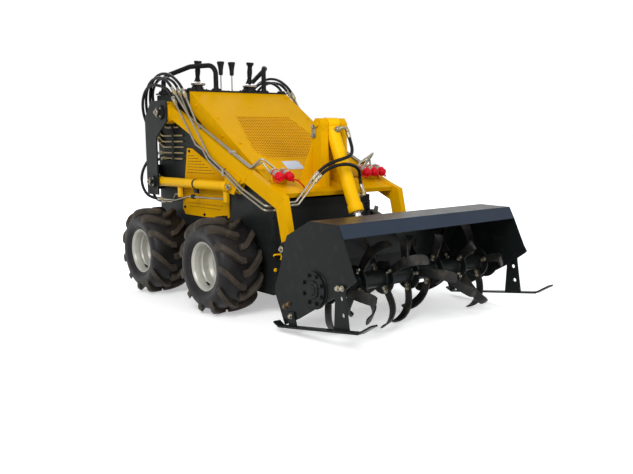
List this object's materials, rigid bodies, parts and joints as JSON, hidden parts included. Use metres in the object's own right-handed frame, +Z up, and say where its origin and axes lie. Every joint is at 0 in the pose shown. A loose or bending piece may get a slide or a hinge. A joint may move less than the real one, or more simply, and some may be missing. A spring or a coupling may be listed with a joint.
{
  "type": "stand-on mini skid steer loader with rotary tiller",
  "caption": "Compact wheeled stand-on skid steer loader with twin lift arms, tilt cylinder and a side-offset rotary tiller; wheels, arms, tilt, rotor and step move.",
  "frame": {"origin": "middle of the footprint of machine and tiller, on the ground", "axes": "+X forward towards the tiller, +Y to the machine's left, +Z up"},
  "size_m": [2.419, 1.501, 1.5214],
  "materials": {
    "yellow_paint": "glossy yellow enamel on sheet and plate",
    "yellow_cylinder": "glossy brighter yellow enamel",
    "yellow_mesh": "perforated sheet, yellow enamel",
    "charcoal_paint": "satin charcoal enamel",
    "tiller_paint": "semi-gloss dark grey enamel",
    "black_plastic": "textured black trim",
    "black_rubber": "moulded black rubber grips and boots",
    "lever_steel": "plated stem with black knob",
    "zinc_steel": "zinc-plated hydraulic fittings",
    "chrome": "hard chrome",
    "red_plastic": "soft red dust caps",
    "engine_iron": "painted castings",
    "rotor_iron": "black forged tines on a painted tube",
    "tyre_rubber": "lugged rubber",
    "rim_silver": "silver enamel",
    "hose_rubber": "wrapped hydraulic hose"
  },
  "bodies": {
    "chassis": {"chassis_tub": "charcoal_paint", "tower_right": "charcoal_paint", "tower_left": "charcoal_paint", "side_panel_right": "yellow_paint", "side_panel_left": "yellow_paint", "hood": "yellow_paint", "front_grille": "yellow_mesh", "top_deck": "black_plastic", "rear_console": "charcoal_paint", "engine": "engine_iron", "wheel_motors": "engine_iron", "filler_caps": "chrome", "joysticks": "black_rubber", "control_levers": "lever_steel", "grab_handles": "black_rubber", "tower_pipes": "zinc_steel", "boom_hoses": "hose_rubber", "lift_hoses": "hose_rubber"},
    "step": {"rear_step": "charcoal_paint"},
    "arms": {"arm_right": "yellow_paint", "arm_left": "yellow_paint", "cross_member": "yellow_paint", "couplers": "zinc_steel", "coupler_caps": "red_plastic", "arm_pipes": "zinc_steel", "tilt_hoses": "hose_rubber"},
    "lift_barrel_right": {"lift_barrel_right": "yellow_cylinder", "lift_pipes_right": "zinc_steel"},
    "lift_rod_right": {"lift_rod_right": "chrome"},
    "lift_barrel_left": {"lift_barrel_left": "yellow_cylinder", "lift_pipes_left": "zinc_steel"},
    "lift_rod_left": {"lift_rod_left": "chrome"},
    "tilt_barrel": {"tilt_barrel": "yellow_cylinder", "tilt_ports": "zinc_steel"},
    "tilt_rod": {"tilt_rod": "chrome"},
    "tiller": {"hitch_frame": "charcoal_paint", "tiller_hood": "tiller_paint", "tiller_side_right": "tiller_paint", "tiller_side_left": "tiller_paint", "skids": "tiller_paint", "end_housings": "tiller_paint"},
    "rotor": {"rotor": "rotor_iron"},
    "wheel_front_right": {"tyre_front_right": "tyre_rubber", "rim_front_right": "rim_silver"},
    "wheel_front_left": {"tyre_front_left": "tyre_rubber", "rim_front_left": "rim_silver"},
    "wheel_rear_right": {"tyre_rear_right": "tyre_rubber", "rim_rear_right": "rim_silver"},
    "wheel_rear_left": {"tyre_rear_left": "tyre_rubber", "rim_rear_left": "rim_silver"}
  },
  "joints": [
    {"name": "arm_lift", "type": "hinge", "parent": "chassis", "child": "arms", "pos_m": [-0.9065, -0.0755, 1.177], "axis": [0, -1, 0], "range_deg": [-1, 65], "deforming": ["boom_hoses", "lift_hoses"]},
    {"name": "tilt", "type": "hinge", "parent": "arms", "child": "tiller", "pos_m": [0.4295, -0.0755, 0.42], "axis": [0, -1, 0], "range_deg": [-45, 8], "deforming": ["tilt_hoses"]},
    {"name": "rotor_spin", "type": "hinge", "parent": "tiller", "child": "rotor", "pos_m": [0.7575, 0.0575, 0.262], "axis": [0, 1, 0], "continuous": true},
    {"name": "step_fold", "type": "hinge", "parent": "chassis", "child": "step", "pos_m": [-1.1675, -0.0755, 0.205], "axis": [0, -1, 0], "range_deg": [0, 90]},
    {"name": "tilt_barrel_swing", "type": "hinge", "parent": "arms", "child": "tilt_barrel", "pos_m": [0.2675, -0.0755, 1.078], "axis": [0, -1, 0], "range_deg": [-2, 4]},
    {"name": "tilt_rod_slide", "type": "slide", "parent": "tilt_barrel", "child": "tilt_rod", "axis": [0.4123, 0, -0.911], "range_m": [-0.02, 0.115]},
    {"name": "lift_barrel_right_swing", "type": "hinge", "parent": "chassis", "child": "lift_barrel_right", "pos_m": [-1.0485, -0.4995, 0.72], "axis": [0, -1, 0], "range_deg": [-1, 49]},
    {"name": "lift_rod_right_slide", "type": "slide", "parent": "lift_barrel_right", "child": "lift_rod_right", "axis": [1, 0, 0.0042], "range_m": [-0.01, 0.4]},
    {"name": "wheel_front_right_spin", "type": "hinge", "parent": "chassis", "child": "wheel_front_right", "pos_m": [-0.0905, -0.6155, 0.28], "axis": [0, 1, 0], "continuous": true},
    {"name": "wheel_rear_right_spin", "type": "hinge", "parent": "chassis", "child": "wheel_rear_right", "pos_m": [-0.8985, -0.6155, 0.28], "axis": [0, 1, 0], "continuous": true},
    {"name": "lift_barrel_left_swing", "type": "hinge", "parent": "chassis", "child": "lift_barrel_left", "pos_m": [-1.0485, 0.3485, 0.72], "axis": [0, -1, 0], "range_deg": [-1, 49]},
    {"name": "lift_rod_left_slide", "type": "slide", "parent": "lift_barrel_left", "child": "lift_rod_left", "axis": [1, 0, 0.0042], "range_m": [-0.01, 0.4]},
    {"name": "wheel_front_left_spin", "type": "hinge", "parent": "chassis", "child": "wheel_front_left", "pos_m": [-0.0905, 0.4645, 0.28], "axis": [0, 1, 0], "continuous": true},
    {"name": "wheel_rear_left_spin", "type": "hinge", "parent": "chassis", "child": "wheel_rear_left", "pos_m": [-0.8985, 0.4645, 0.28], "axis": [0, 1, 0], "continuous": true}
  ],
  "couplings": [
    {"joint": "tilt_barrel_swing", "follows": "tilt", "ratio": -0.04},
    {"joint": "tilt_rod_slide", "follows": "tilt", "m_per_rad": -0.134},
    {"joint": "lift_barrel_right_swing", "follows": "arm_lift", "ratio": 0.73633},
    {"joint": "lift_rod_right_slide", "follows": "arm_lift", "m_per_rad": 0.34368},
    {"joint": "lift_barrel_left_swing", "follows": "arm_lift", "ratio": 0.73633},
    {"joint": "lift_rod_left_slide", "follows": "arm_lift", "m_per_rad": 0.34368}
  ]
}
